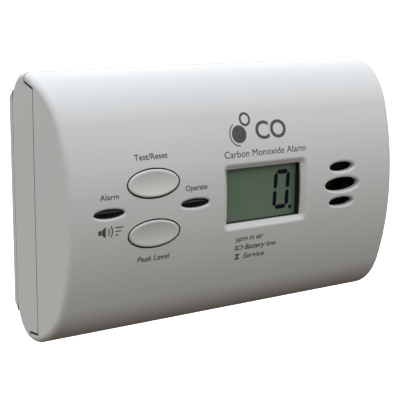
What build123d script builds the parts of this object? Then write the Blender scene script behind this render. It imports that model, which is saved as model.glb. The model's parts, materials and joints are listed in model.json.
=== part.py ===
from build123d import *
import math
import os

os.makedirs("parts", exist_ok=True)

# Wall-hung carbon monoxide alarm. X runs along the front, +Y goes into the wall, +Z is up.
# The origin is the centre of the flat back. All dimensions are in millimetres.

# Body: a bowed front, rounded top and bottom, nearly flat ends and a raised flat back
BODY_WIDTH = 146.05
BODY_HEIGHT = 95.25
BODY_DEPTH = 44.45
FRONT_RADIUS = 84.7
CORNER_RADIUS = 25.0
REAR_RADIUS = 12.7
PLATEAU_Z = 37.8
BEVEL_Z = 40.5
FRONT_DRAFT = 3.7
REAR_DRAFT = 1.2
END_FILLET = 2.2
REAR_END_FILLET = 2.0
PLATEAU_END_FILLET = 0.8
COVER_WALL = 2.3
REAR_WALL = 2.5
POST_INSET = 1.0

# Seam between the two halves, with a slanted lip towards the top and the bottom
SEAM_Y = -24.0
SEAM_GAP = 0.5
LIP_Z = 43.4
LIP_END_Y = -16.0
LIP_END_Z = 44.9
LIP_GAP = 0.8
TONGUE_OUTSIDE = 2.4
TONGUE_INSIDE = 3.6
TONGUE_FRONT_Y = -26.5
TONGUE_REAR_Y = -14.5

# Worked out from the body's dimensions
HALF_WIDTH = BODY_WIDTH / 2
HALF_HEIGHT = BODY_HEIGHT / 2
ARC_Y = FRONT_RADIUS - BODY_DEPTH
CORNER_Z = HALF_HEIGHT - CORNER_RADIUS
CORNER_REACH = FRONT_RADIUS - CORNER_RADIUS
CORNER_Y = ARC_Y - math.sqrt(CORNER_REACH**2 - CORNER_Z**2)
JOIN_Y = ARC_Y + (CORNER_Y - ARC_Y) * FRONT_RADIUS / CORNER_REACH
JOIN_Z = CORNER_Z * FRONT_RADIUS / CORNER_REACH
REAR_Z = HALF_HEIGHT - REAR_RADIUS
BEVEL_Y = CORNER_Y + math.sqrt(REAR_RADIUS**2 - (BEVEL_Z - REAR_Z) ** 2)

# How far each end leans in where its slope, run on past the seam, meets the other face
COVER_REAR_INSET = FRONT_DRAFT * SEAM_Y / (BODY_DEPTH + SEAM_Y)
REAR_FRONT_INSET = REAR_DRAFT * (BODY_DEPTH + SEAM_Y) / SEAM_Y

# Front controls, all centred on one row
ROW_Z = 2.5
BUTTON_X = -38.1
BUTTON_RISE = 8.7
BUTTON_SIZE = (19.8, 9.5)
BUTTON_CLEARANCE = 0.5
BUTTON_PROUD = 0.4
BUTTON_RIM = 0.9
BUTTON_ROUND = 0.6
DISH_DEPTH = 0.5
BUTTON_FLANGE = (22.6, 12.2)
FLANGE_FRONT_Y = -37.9
FLANGE_REAR_Y = -36.9
COLLAR_WALL = 1.1
COLLAR_END_Y = -38.2
LED_XS = (-55.3, -21.6)
LED_WINDOW = (11.4, 3.1)
LED_RIM = 0.8
LENS_CLEARANCE = 0.1
LENS_DEPTH = 0.6
LENS_CROWN = 0.6
VENT_X = 44.4
VENTS = ((6.75, 11.6, 3.6), (0.0, 16.2, 5.2), (-6.7, 11.6, 3.4))
VENT_RIM = 0.9

# Display
LCD_X = 9.0
LCD_Z = ROW_Z + 0.1
LCD_OPENING = (33.2, 20.0)
LCD_CORNER = 0.6
LCD_BEVEL_WIDTH = 1.9
LCD_BEVEL_DEPTH = 1.5
LCD_EDGE_ROUND = 1.2
BEZEL_SIZE = (39.2, 27.2)
BEZEL_OPENING = (33.6, 20.4)
BEZEL_FIT = 0.08
GLASS_SIZE = (37.0, 24.6)
GLASS_CLEARANCE = 0.1
GLASS_FRONT_Y = -38.9
FILM_THICKNESS = 0.2
GLASS_THICKNESS = 2.2
STRIP_WIDTH = 2.2
STRIP_LENGTH = 33.0
STRIP_Z = 11.0

# Circuit board and screws
BOARD_SIZE = (118.0, 66.0)
BOARD_CORNER = 1.5
BOARD_FRONT_Y = -29.0
BOARD_REAR_Y = -27.4
BOARD_SCREW = (55.0, 29.0)
CASE_SCREW = (64.0, 32.0)
COVER_BOSS_R = 3.5
REAR_BOSS_R = 4.0
STANDOFF_R = 3.0
POST_GAP = 0.3
SCREW_FIT = 0.05
SCREW_CLEARANCE = 0.25
PILOT_SPARE = 1.0
CASE_SCREW_R = 1.4
CASE_HEAD_R = 2.75
CASE_HEAD_Y = -14.0
CASE_HEAD_HEIGHT = 2.2
CASE_SCREW_END_Y = -31.0
BOARD_SCREW_R = 1.05
BOARD_HEAD_R = 2.2
BOARD_HEAD_HEIGHT = 1.6
BOARD_SCREW_END_Y = -33.4
RECESS_SPAN = 1.2
RECESS_WIDTH = 0.7
RECESS_DEPTH = 1.0

# Battery compartment
CELL_R = 7.25
CELL_LENGTH = 50.5
CELL_CHAMFER = 0.5
NUB_R = 2.75
NUB_HEIGHT = 1.3
CELL_PITCH = 15.0
CELL_Y = -10.45
PLATE_X = 27.25
PLATE_THICKNESS = 0.4
PLATE_HEIGHT = 11.0
PLATE_CORNER = 1.0
TUB_HALF_X = PLATE_X + PLATE_THICKNESS
TUB_HALF_Z = 22.6
TUB_WALL = 1.5
TUB_FLOOR_Y = -18.2
TUB_OUTER_Y = TUB_FLOOR_Y - TUB_WALL
POST_ROOT_Y = -1.0
SPRING_WIRE_R = 0.4
SPRING_R = 3.2
SPRING_TURNS = 3
SPRING_SLACK = 0.02
TAB_WIDTH = 3.0
TAB_END_Y = -22.2
TAB_SLOT = (0.9, 3.4)
TAB_SLOT_X = PLATE_X + 0.15
MARK_X = 20.0
MARK_SIZE = (3.2, 0.8)
MARK_DEPTH = 0.4

# Battery door
DOOR_HALF_X = 28.3
DOOR_TOP_Z = 24.3
DOOR_FACE_Y = -0.3
DOOR_INNER_Y = -2.1
DOOR_LEDGE_Y = -2.4
DOOR_GAP = 0.3
DOOR_RIB = (44.0, 1.0)
DOOR_RIB_DEPTH = 2.4
HINGE_Y = -1.9
HINGE_Z = -26.0
BARREL_R = 1.6
BARREL_POCKET_R = 1.95
HINGE_PIN_R = 1.0
HINGE_BORE_R = 1.05
HINGE_PIN_LENGTH = 1.7
HINGE_BLOCK = (3.0, 7.5, 4.6)
RECESS_LOW_Z = -28.4
LATCH_X = 8.0
LATCH_SLOT = (0.8, 7.0)
GRIP_SIZE = (18.0, 0.9)
GRIP_DROP = 9.5
GRIP_PITCH = 2.0
GRIP_COUNT = 4
ARROW_DROP = 22.0
ARROW_R = 3.2
ARROW_DEPTH = 0.4
SCOOP_R = 7.0
SCOOP_Y = 5.0

# Hanging keyholes
KEYHOLE_X = 50.0
KEYHOLE_Z = 0.0
KEYHOLE_HEAD_R = 4.5
KEYHOLE_SLOT_R = 2.25
KEYHOLE_RISE = 10.0

# Sounder, in line with the vents
HORN_R = 14.8
HORN_BORE_R = 13.4
HORN_THROAT_R = 12.2
HORN_LEDGE_Y = -33.0
HORN_TOP_Y = -38.6
HORN_CAP_Y = -39.3
HORN_CAP_HOLE_R = 5.0
GASKET_BORE_R = 12.8
PIEZO_R = 13.3
PIEZO_THICKNESS = 0.3
CERAMIC_R = 10.0
CERAMIC_THICKNESS = 0.25
BOARD_PORT_R = 4.0

# Breathing slots and rating plate
VENT_SLOT_Y = -8.0
VENT_SLOT_LENGTH = 7.0
VENT_SLOT_WIDTH = 2.0
VENT_SLOT_PITCH = 8.0
VENT_SLOT_COUNT = 11
LABEL_X = -50.0
LABEL_Z = -15.5
LABEL_SIZE = (30.0, 18.0)
LABEL_CORNER = 1.0
LABEL_CLEARANCE = 0.2
LABEL_SEAT = 0.3
LABEL_THICKNESS = 0.15

# Switches, lamps and lenses
SWITCH_SIZE = 6.0
SWITCH_CORNER = 0.5
SWITCH_TOP_Y = -32.5
SWITCH_BORE_DEPTH = 2.6
PLUNGER_R = 1.7
PLUNGER_FIT = 0.05
PLUNGER_TIP_Y = -34.5
PLUNGER_REAR_Y = -30.6
STEM_GAP = 0.08
STEM_R = 1.9
LENS_REAR_Y = -41.0
LENS_FLANGE = (14.0, 6.0)
LENS_FLANGE_THICKNESS = 0.9
LED_R = 1.5
LED_BASE_LIP = 0.4
LED_BASE_HEIGHT = 1.0
LED_BASE_Y = -35.2
LED_TIP_Y = -40.5
LED_LEG_END_Y = -26.6
LED_LEG_PITCH = 2.54
LED_LEG_SIZE = 0.5
LED_LEG_HOLE_R = 0.45
SPACER_R = 2.4

# Gas sensor behind the board
SENSOR_X = -47.0
SENSOR_Z = -14.0
SENSOR_R = 7.0
SENSOR_BASE_LIP = 0.6
SENSOR_BASE_Y = -24.9
SENSOR_END_Y = -10.5
SENSOR_PIN_R = 4.5
PIN_ANGLES = (90, 210, 330)
PIN_R = 0.5
PIN_FIT = 0.02
PIN_HOLE_CLEARANCE = 0.1
PIN_END_Y = -29.8
FILTER_R = 5.0
FILTER_THICKNESS = 0.8
FILTER_HOLE_R = 1.2

# Small parts behind the board: places are x and z, heights are above the board
CHIP_PLACE = (-8.0, 12.0)
CHIP_SIZE = 10.0
CHIP_CORNER = 0.3
CHIP_STANDOFF = 0.1
CHIP_HEIGHT = 1.5
CHIP_LEAD = (0.35, 1.2, 0.4)
CHIP_LEAD_PITCH = 0.8
CHIP_LEADS_PER_SIDE = 11
CRYSTAL_PLACE = (-8.0, -0.5)
CRYSTAL_SIZE = (10.5, 3.8)
CRYSTAL_HEIGHT = 3.5
CRYSTAL_ROUND = 0.5
LARGE_CAPACITOR = (40.0, 22.0)
LARGE_CAPACITOR_R = 4.0
LARGE_CAPACITOR_HEIGHT = 11.0
SMALL_CAPACITOR = (51.5, 22.0)
SMALL_CAPACITOR_R = 2.5
SMALL_CAPACITOR_HEIGHT = 7.4
INDUCTOR = (42.0, -20.0)
INDUCTOR_R = 5.0
INDUCTOR_BORE_R = 1.6
INDUCTOR_HEIGHT = 8.9
TRANSISTOR = (54.0, -15.0)
TRANSISTOR_SIZE = (4.6, 3.6)
TRANSISTOR_CORNER = 0.8
TRANSISTOR_HEIGHT = 5.9
CONNECTOR = (2.0, 28.5)
CONNECTOR_SIZE = (6.0, 5.0)
CONNECTOR_CORNER = 0.4
CONNECTOR_HEIGHT = 5.4
RESISTOR_PLACE = (16.0, -8.0)
RESISTOR_SIZE = (3.2, 1.6)
RESISTOR_PITCH = (5.2, 3.6)
RESISTOR_GRID = (3, 4)
RESISTOR_HEIGHT = 0.6
CERAMIC_PLACE = (-8.0, -14.0)
CERAMIC_SIZE = (2.0, 1.25)
CERAMIC_PITCH = (4.0, 4.0)
CERAMIC_GRID = (3, 2)
CERAMIC_HEIGHT = 1.0

# Battery leads
LEAD_R = 0.6
LEAD_BEND_R = 1.8
LEAD_X = 28.27
LEAD_START_Y = -20.5
LEAD_Y = -24.6

CORNERS = [(x, z) for x in (-1, 1) for z in (-1, 1)]
CASE_SCREW_PLACES = [(x * CASE_SCREW[0], z * CASE_SCREW[1]) for x, z in CORNERS]
BOARD_SCREW_PLACES = [(x * BOARD_SCREW[0], z * BOARD_SCREW[1]) for x, z in CORNERS]
BUTTON_ZS = (ROW_Z + BUTTON_RISE, ROW_Z - BUTTON_RISE)
BUTTON_PLACES = [(BUTTON_X, z) for z in BUTTON_ZS]
LED_LEGS = [(x + s * LED_LEG_PITCH / 2, ROW_Z) for x in LED_XS for s in (-1, 1)]
SENSOR_PINS = [
    (SENSOR_X + SENSOR_PIN_R * math.cos(a), SENSOR_Z + SENSOR_PIN_R * math.sin(a))
    for a in map(math.radians, PIN_ANGLES)
]


# ------------------------------------------------------------------ profiles
def front_plane(y):
    """Sketch plane that faces the room at the given depth."""
    return Plane.XZ.offset(-y)


def front_y(z, radius=FRONT_RADIUS):
    """Depth of the bowed front, or of a surface parallel to it, at height z."""
    return ARC_Y - math.sqrt(radius**2 - z**2)


def side_section(inset):
    """D-shaped side section of the body, moved inwards by inset."""
    with BuildSketch(Plane.YZ) as section:
        with BuildLine():
            ThreePointArc((JOIN_Y, -JOIN_Z), (-BODY_DEPTH, 0), (JOIN_Y, JOIN_Z))
            for side in (1, -1):
                join = (JOIN_Y, side * JOIN_Z)
                crest = (CORNER_Y, side * HALF_HEIGHT)
                bevel = (BEVEL_Y, side * BEVEL_Z)
                RadiusArc(join, crest, side * CORNER_RADIUS)
                RadiusArc(crest, bevel, side * REAR_RADIUS)
                Line(bevel, (0, side * PLATEAU_Z))
            Line((0, PLATEAU_Z), (0, -PLATEAU_Z))
        make_face()
        if inset:
            offset(amount=-inset, kind=Kind.INTERSECTION)
    return section.sketch


def round_section(rear_y, rear_radius):
    """Side section with no raised back: the bowed front, then corners of rear_radius."""
    shoulder_z = HALF_HEIGHT - rear_radius
    with BuildSketch(Plane.YZ) as section:
        with BuildLine():
            ThreePointArc((JOIN_Y, -JOIN_Z), (-BODY_DEPTH, 0), (JOIN_Y, JOIN_Z))
            for side in (1, -1):
                crest = (CORNER_Y, side * HALF_HEIGHT)
                shoulder = (rear_y, side * shoulder_z)
                RadiusArc((JOIN_Y, side * JOIN_Z), crest, side * CORNER_RADIUS)
                if rear_radius:
                    RadiusArc(crest, shoulder, side * rear_radius)
                else:
                    Line(crest, shoulder)
            Line((rear_y, shoulder_z), (rear_y, -shoulder_z))
        make_face()
    return section.sketch


def end_plan(front_inset, rear_inset, inset):
    """Plan of the body between ends that lean in by the given insets."""
    front = HALF_WIDTH - front_inset - inset
    rear = HALF_WIDTH - rear_inset - inset
    with BuildSketch(Plane.XY) as section:
        with BuildLine():
            Polyline((-front, -BODY_DEPTH), (front, -BODY_DEPTH), (rear, 0), (-rear, 0), close=True)
        make_face()
    return section.sketch


def body_volume(inset):
    """Solid body shape with sharp ends, moved inwards by inset."""
    with BuildPart() as volume:
        extrude(side_section(inset), amount=HALF_WIDTH, both=True)
        front_plan = end_plan(FRONT_DRAFT, COVER_REAR_INSET, inset)
        extrude(front_plan, amount=HALF_HEIGHT, both=True, mode=Mode.INTERSECT)
        rear_plan = end_plan(REAR_FRONT_INSET, REAR_DRAFT, inset)
        extrude(rear_plan, amount=HALF_HEIGHT, both=True, mode=Mode.INTERSECT)
    return volume.part


def front_zone(seam_gap, lip_gap):
    """Everything that belongs to the front cover, grown by the gaps along its rear edge."""
    root_y = SEAM_Y + seam_gap
    root_z = LIP_Z - lip_gap
    end_y = LIP_END_Y + seam_gap
    end_z = LIP_END_Z - lip_gap
    with BuildPart() as zone:
        with BuildSketch(Plane.YZ):
            with Locations((end_y, 0)):
                Rectangle(BODY_DEPTH, 2 * BODY_HEIGHT, align=(Align.MAX, Align.CENTER))
            with BuildLine():
                Polyline((root_y, -root_z), (root_y, root_z), (end_y, end_z), (end_y, -end_z), close=True)
            make_face(mode=Mode.SUBTRACT)
        extrude(amount=BODY_WIDTH, both=True)
    return zone.part


# ------------------------------------------------------------------ edge selectors
def end_edges(builder):
    """Edges around both ends of the part being built."""
    ends = builder.faces().sort_by(Axis.X)
    return ends[0].edges() + ends[-1].edges()


def on_front(edge):
    """True for an edge that lies on the bowed front."""
    points = [edge @ t for t in (0.0, 0.37, 0.71, 1.0)]
    return all(abs(p.Y - front_y(p.Z)) < 0.02 for p in points)


def rim_edges(edges, x, z, size):
    """Edges on the bowed front that bound the opening of this size at x, z."""
    found = []
    for edge in edges:
        box = edge.bounding_box()
        near_x = abs(box.center().X - x) < size[0] / 2 + 0.2 and box.size.X < size[0] + 0.4
        near_z = abs(box.center().Z - z) < size[1] / 2 + 0.2 and box.size.Z < size[1] + 0.4
        if near_x and near_z and on_front(edge):
            found.append(edge)
    return found


# ------------------------------------------------------------------ body shapes shared by both halves
with BuildPart() as front_half:
    extrude(round_section(0, 0), amount=BODY_WIDTH, both=True)
    plan = end_plan(FRONT_DRAFT, COVER_REAR_INSET, 0)
    extrude(plan, amount=HALF_HEIGHT, both=True, mode=Mode.INTERSECT)
    rim = end_edges(front_half).filter_by(lambda e: e.center().Y < -0.01)
    fillet(rim, END_FILLET)

with BuildPart() as rear_half:
    extrude(round_section(CORNER_Y + REAR_RADIUS, REAR_RADIUS), amount=BODY_WIDTH, both=True)
    plan = end_plan(REAR_FRONT_INSET, REAR_DRAFT, 0)
    extrude(plan, amount=HALF_HEIGHT, both=True, mode=Mode.INTERSECT)
    fillet(end_edges(rear_half), REAR_END_FILLET)

with BuildPart() as plateau:
    add(body_volume(0))
    with BuildSketch(Plane.YZ):
        with Locations((BEVEL_Y, 0)):
            Rectangle(BODY_DEPTH, BODY_HEIGHT, align=(Align.MIN, Align.CENTER))
    extrude(amount=BODY_WIDTH, both=True, mode=Mode.INTERSECT)
    back_rim = end_edges(plateau).filter_by(lambda e: e.center().Y > BEVEL_Y + 0.1)
    fillet(back_rim, PLATEAU_END_FILLET)

with BuildPart() as body:
    add(front_half.part)
    add(rear_half.part, mode=Mode.INTERSECT)
    add(plateau.part)

post_limit = body_volume(POST_INSET)

# ------------------------------------------------------------------ front cover
# Posts inside the cover: bosses for the case screws, standoffs for the board, button collars
with BuildPart() as cover_posts:
    with BuildSketch(front_plane(SEAM_Y)):
        with Locations(CASE_SCREW_PLACES):
            Circle(COVER_BOSS_R)
    extrude(amount=BODY_DEPTH)
    with BuildSketch(front_plane(BOARD_FRONT_Y)):
        with Locations(BOARD_SCREW_PLACES):
            Circle(STANDOFF_R)
    extrude(amount=BODY_DEPTH)
    with BuildSketch(front_plane(COLLAR_END_Y)):
        with Locations(BUTTON_PLACES):
            Ellipse(
                BUTTON_SIZE[0] / 2 + BUTTON_CLEARANCE + COLLAR_WALL,
                BUTTON_SIZE[1] / 2 + BUTTON_CLEARANCE + COLLAR_WALL,
            )
    extrude(amount=BODY_DEPTH)
    add(post_limit, mode=Mode.INTERSECT)

with BuildPart() as front_cover:
    add(body.part)
    add(body_volume(COVER_WALL), mode=Mode.SUBTRACT)
    add(front_zone(0, 0), mode=Mode.INTERSECT)
    add(cover_posts.part)
    # pilot holes
    with BuildSketch(front_plane(SEAM_Y)):
        with Locations(CASE_SCREW_PLACES):
            Circle(CASE_SCREW_R + SCREW_FIT)
    extrude(amount=SEAM_Y - CASE_SCREW_END_Y + PILOT_SPARE, mode=Mode.SUBTRACT)
    with BuildSketch(front_plane(BOARD_FRONT_Y)):
        with Locations(BOARD_SCREW_PLACES):
            Circle(BOARD_SCREW_R + SCREW_FIT)
    extrude(amount=BOARD_FRONT_Y - BOARD_SCREW_END_Y + PILOT_SPARE, mode=Mode.SUBTRACT)
    # openings for buttons, lamps, sounder and display
    with BuildSketch(front_plane(COLLAR_END_Y)):
        with Locations(BUTTON_PLACES):
            Ellipse(BUTTON_SIZE[0] / 2 + BUTTON_CLEARANCE, BUTTON_SIZE[1] / 2 + BUTTON_CLEARANCE)
        with Locations([(x, ROW_Z) for x in LED_XS]):
            Ellipse(LED_WINDOW[0] / 2, LED_WINDOW[1] / 2)
        for rise, width, height in VENTS:
            with Locations((VENT_X, ROW_Z + rise)):
                Ellipse(width / 2, height / 2)
        with Locations((LCD_X, LCD_Z)):
            RectangleRounded(LCD_OPENING[0], LCD_OPENING[1], LCD_CORNER)
    extrude(amount=BODY_DEPTH, mode=Mode.SUBTRACT)
    # softened rims
    for led_x in LED_XS:
        fillet(rim_edges(front_cover.edges(), led_x, ROW_Z, LED_WINDOW), LED_RIM)
    for rise, width, height in VENTS:
        fillet(rim_edges(front_cover.edges(), VENT_X, ROW_Z + rise, (width, height)), VENT_RIM)
    chamfer(rim_edges(front_cover.edges(), LCD_X, LCD_Z, LCD_OPENING), LCD_BEVEL_WIDTH, LCD_BEVEL_DEPTH)
    recess_size = [length + 2 * LCD_BEVEL_WIDTH for length in LCD_OPENING]
    fillet(rim_edges(front_cover.edges(), LCD_X, LCD_Z, recess_size), LCD_EDGE_ROUND)

# ------------------------------------------------------------------ rear housing
# Tongue that enters the cover behind the seam
with BuildPart() as seam_tongue:
    add(body_volume(TONGUE_OUTSIDE))
    add(body_volume(TONGUE_INSIDE), mode=Mode.SUBTRACT)
    with BuildSketch(front_plane(TONGUE_REAR_Y)):
        Rectangle(2 * BODY_WIDTH, 2 * BODY_HEIGHT)
    extrude(amount=TONGUE_REAR_Y - TONGUE_FRONT_Y, mode=Mode.INTERSECT)

# Screw bosses, battery tub and the block that holds the door's hinge
with BuildPart() as rear_inside:
    with BuildSketch(front_plane(POST_ROOT_Y)):
        with Locations(CASE_SCREW_PLACES):
            Circle(REAR_BOSS_R)
    extrude(amount=POST_ROOT_Y - SEAM_Y - POST_GAP)
    with BuildSketch(front_plane(POST_ROOT_Y)):
        Rectangle(2 * (TUB_HALF_X + TUB_WALL), 2 * (TUB_HALF_Z + TUB_WALL))
    extrude(amount=POST_ROOT_Y - TUB_OUTER_Y)
    with BuildSketch(front_plane(POST_ROOT_Y)):
        with Locations((0, HINGE_Z)):
            Rectangle(2 * (DOOR_HALF_X + HINGE_BLOCK[0]), HINGE_BLOCK[1])
    extrude(amount=HINGE_BLOCK[2])
    add(post_limit, mode=Mode.INTERSECT)

with BuildPart() as rear_housing:
    add(body.part)
    add(body_volume(REAR_WALL), mode=Mode.SUBTRACT)
    add(front_zone(SEAM_GAP, LIP_GAP), mode=Mode.SUBTRACT)
    add(seam_tongue.part)
    add(rear_inside.part)
    # battery tub and the seat of its door
    with BuildSketch(front_plane(0)):
        Rectangle(2 * TUB_HALF_X, 2 * TUB_HALF_Z)
    extrude(amount=-TUB_FLOOR_Y, mode=Mode.SUBTRACT)
    with BuildSketch(front_plane(0)):
        with Locations((0, RECESS_LOW_Z)):
            Rectangle(
                2 * (DOOR_HALF_X + DOOR_GAP),
                DOOR_TOP_Z + DOOR_GAP - RECESS_LOW_Z,
                align=(Align.CENTER, Align.MIN),
            )
    extrude(amount=-DOOR_LEDGE_Y, mode=Mode.SUBTRACT)
    with BuildSketch(Plane.YZ):
        with Locations((HINGE_Y, HINGE_Z)):
            Circle(BARREL_POCKET_R)
    extrude(amount=DOOR_HALF_X + DOOR_GAP, both=True, mode=Mode.SUBTRACT)
    with BuildSketch(Plane.YZ):
        with Locations((HINGE_Y, HINGE_Z)):
            Circle(HINGE_BORE_R)
    extrude(amount=DOOR_HALF_X + HINGE_PIN_LENGTH + DOOR_GAP, both=True, mode=Mode.SUBTRACT)
    # finger scoop above the door
    with Locations((0, SCOOP_Y, DOOR_TOP_Z)):
        Sphere(SCOOP_R, mode=Mode.SUBTRACT)
    # slots for the tabs of the end contacts
    with BuildSketch(front_plane(TUB_FLOOR_Y)):
        with Locations((TAB_SLOT_X, CELL_PITCH), (-TAB_SLOT_X, -CELL_PITCH)):
            Rectangle(*TAB_SLOT)
    extrude(amount=TUB_WALL, mode=Mode.SUBTRACT)
    # plus and minus marks under the ends of the cells
    with BuildSketch(front_plane(TUB_FLOOR_Y)):
        for row, facing in ((1, 1), (0, -1), (-1, 1)):
            with Locations((facing * MARK_X, row * CELL_PITCH)):
                Rectangle(*MARK_SIZE)
                Rectangle(*MARK_SIZE, rotation=90)
            with Locations((-facing * MARK_X, row * CELL_PITCH)):
                Rectangle(*MARK_SIZE)
    extrude(amount=MARK_DEPTH, mode=Mode.SUBTRACT)
    # case screw counterbores
    with BuildSketch(front_plane(0)):
        with Locations(CASE_SCREW_PLACES):
            Circle(CASE_HEAD_R + SCREW_CLEARANCE)
    extrude(amount=-CASE_HEAD_Y, mode=Mode.SUBTRACT)
    with BuildSketch(front_plane(0)):
        with Locations(CASE_SCREW_PLACES):
            Circle(CASE_SCREW_R + SCREW_CLEARANCE)
    extrude(amount=BODY_DEPTH, mode=Mode.SUBTRACT)
    # keyholes
    with BuildSketch(front_plane(0)):
        for keyhole_x in (-KEYHOLE_X, KEYHOLE_X):
            with Locations((keyhole_x, KEYHOLE_Z)):
                Circle(KEYHOLE_HEAD_R)
                Rectangle(2 * KEYHOLE_SLOT_R, KEYHOLE_RISE, align=(Align.CENTER, Align.MIN))
            with Locations((keyhole_x, KEYHOLE_Z + KEYHOLE_RISE)):
                Circle(KEYHOLE_SLOT_R)
    extrude(amount=REAR_WALL + POST_INSET, mode=Mode.SUBTRACT)
    # breathing slots in the rounded rear corners
    with BuildSketch(Plane.XY):
        with Locations((0, VENT_SLOT_Y)):
            with GridLocations(VENT_SLOT_PITCH, 1, VENT_SLOT_COUNT, 1):
                SlotOverall(VENT_SLOT_LENGTH, VENT_SLOT_WIDTH, rotation=90)
    extrude(amount=BODY_HEIGHT, both=True, mode=Mode.SUBTRACT)
    # shallow seat for the rating plate
    with BuildSketch(front_plane(0)):
        with Locations((LABEL_X, LABEL_Z)):
            RectangleRounded(
                LABEL_SIZE[0] + 2 * LABEL_CLEARANCE,
                LABEL_SIZE[1] + 2 * LABEL_CLEARANCE,
                LABEL_CORNER + LABEL_CLEARANCE,
            )
    extrude(amount=LABEL_SEAT, mode=Mode.SUBTRACT)

# ------------------------------------------------------------------ battery door
# A panel with its hinge barrel, stub pins, sprung latch tongue, stiffening ribs and grip ridges
with BuildPart() as battery_door:
    with BuildSketch(front_plane(DOOR_FACE_Y)):
        with Locations((0, HINGE_Z)):
            Rectangle(2 * DOOR_HALF_X, DOOR_TOP_Z - HINGE_Z, align=(Align.CENTER, Align.MIN))
    extrude(amount=DOOR_FACE_Y - DOOR_INNER_Y)
    with BuildSketch(Plane.YZ):
        with Locations((HINGE_Y, HINGE_Z)):
            Circle(BARREL_R)
    extrude(amount=DOOR_HALF_X, both=True)
    with BuildSketch(Plane.YZ):
        with Locations((HINGE_Y, HINGE_Z)):
            Circle(HINGE_PIN_R)
    extrude(amount=DOOR_HALF_X + HINGE_PIN_LENGTH, both=True)
    with BuildSketch(front_plane(DOOR_INNER_Y)):
        with Locations((0, CELL_PITCH / 2), (0, -CELL_PITCH / 2)):
            Rectangle(*DOOR_RIB)
    extrude(amount=DOOR_RIB_DEPTH)
    with BuildSketch(front_plane(DOOR_FACE_Y)):
        with Locations((-LATCH_X, DOOR_TOP_Z), (LATCH_X, DOOR_TOP_Z)):
            Rectangle(*LATCH_SLOT, align=(Align.CENTER, Align.MAX))
    extrude(amount=DOOR_FACE_Y - DOOR_INNER_Y, mode=Mode.SUBTRACT)
    with BuildSketch(front_plane(DOOR_FACE_Y)):
        with Locations((0, DOOR_TOP_Z - ARROW_DROP)):
            RegularPolygon(ARROW_R, 3, rotation=-90)
    extrude(amount=ARROW_DEPTH, mode=Mode.SUBTRACT)
    with BuildSketch(front_plane(0)):
        with Locations([(0, DOOR_TOP_Z - GRIP_DROP - GRIP_PITCH * i) for i in range(GRIP_COUNT)]):
            SlotOverall(*GRIP_SIZE)
    extrude(amount=-DOOR_FACE_Y)


# ------------------------------------------------------------------ general shapes
def block(place, size, rear_y, front_depth, corner=0.0):
    """Box centred at place between two depths, with optional round corners."""
    with BuildPart() as piece:
        with BuildSketch(front_plane(rear_y)):
            with Locations(place):
                if corner:
                    RectangleRounded(*size, corner)
                else:
                    Rectangle(*size)
        extrude(amount=rear_y - front_depth)
    return piece.part


def disc(place, radius, rear_y, front_depth, bore=0.0):
    """Round piece along Y between two depths, with an optional bore."""
    with BuildPart() as piece:
        with BuildSketch(front_plane(rear_y)):
            with Locations(place):
                Circle(radius)
                if bore:
                    Circle(bore, mode=Mode.SUBTRACT)
        extrude(amount=rear_y - front_depth)
    return piece.part


def on_board(height):
    """The two depths of a part that stands this high on the rear of the board."""
    return BOARD_REAR_Y + height, BOARD_REAR_Y


def drilled(solid, holes, radius, rear_y, front_depth):
    """The solid with round holes along Y between two depths."""
    with BuildPart() as piece:
        add(solid)
        with BuildSketch(front_plane(rear_y)):
            with Locations(holes):
                Circle(radius)
        extrude(amount=rear_y - front_depth, mode=Mode.SUBTRACT)
    return piece.part


def curved_to_cover(solid):
    """The solid cut so that its front follows the inside of the cover."""
    with BuildPart() as piece:
        add(solid)
        with BuildSketch(Plane.YZ):
            with Locations((ARC_Y, 0)):
                Circle(FRONT_RADIUS - COVER_WALL - BEZEL_FIT)
        extrude(amount=BODY_WIDTH, both=True, mode=Mode.INTERSECT)
    return piece.part


def screws(places, head_r, head_rear_y, head_front_y, shank_r, end_y):
    """Group of cross-recessed pan-head screws."""
    with BuildPart() as group:
        with BuildSketch(front_plane(head_rear_y)):
            with Locations(places):
                Circle(head_r)
        extrude(amount=head_rear_y - head_front_y)
        with BuildSketch(front_plane(head_front_y)):
            with Locations(places):
                Circle(shank_r)
        extrude(amount=head_front_y - end_y)
        with BuildSketch(front_plane(head_rear_y)):
            with Locations(places):
                Rectangle(RECESS_SPAN * head_r, RECESS_WIDTH)
                Rectangle(RECESS_WIDTH, RECESS_SPAN * head_r)
        extrude(amount=RECESS_DEPTH, mode=Mode.SUBTRACT)
    return group.part


# ------------------------------------------------------------------ buttons, switches and lamps
def barrel(axis_point, length, radius, bow):
    """Solid turned about X, its side bulging to radius in the middle along arcs of radius bow."""
    half = length / 2
    end_radius = radius - bow + math.sqrt(bow**2 - half**2)
    with BuildPart() as solid:
        with BuildSketch(Plane(origin=axis_point)):
            with BuildLine():
                ThreePointArc((-half, end_radius), (0, radius), (half, end_radius))
                Polyline((half, end_radius), (half, 0), (-half, 0), (-half, end_radius))
            make_face()
        revolve(axis=Axis(axis_point, (1, 0, 0)))
    return solid.part


def bow_radius(chord, rise):
    """Radius of an arc with this chord and rise."""
    return ((chord / 2) ** 2 + rise**2) / (2 * rise)


def front_normal(z):
    """Outward direction of the bowed front at height z."""
    lean = math.asin(z / FRONT_RADIUS)
    return Vector(0, -math.cos(lean), math.sin(lean))


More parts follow.
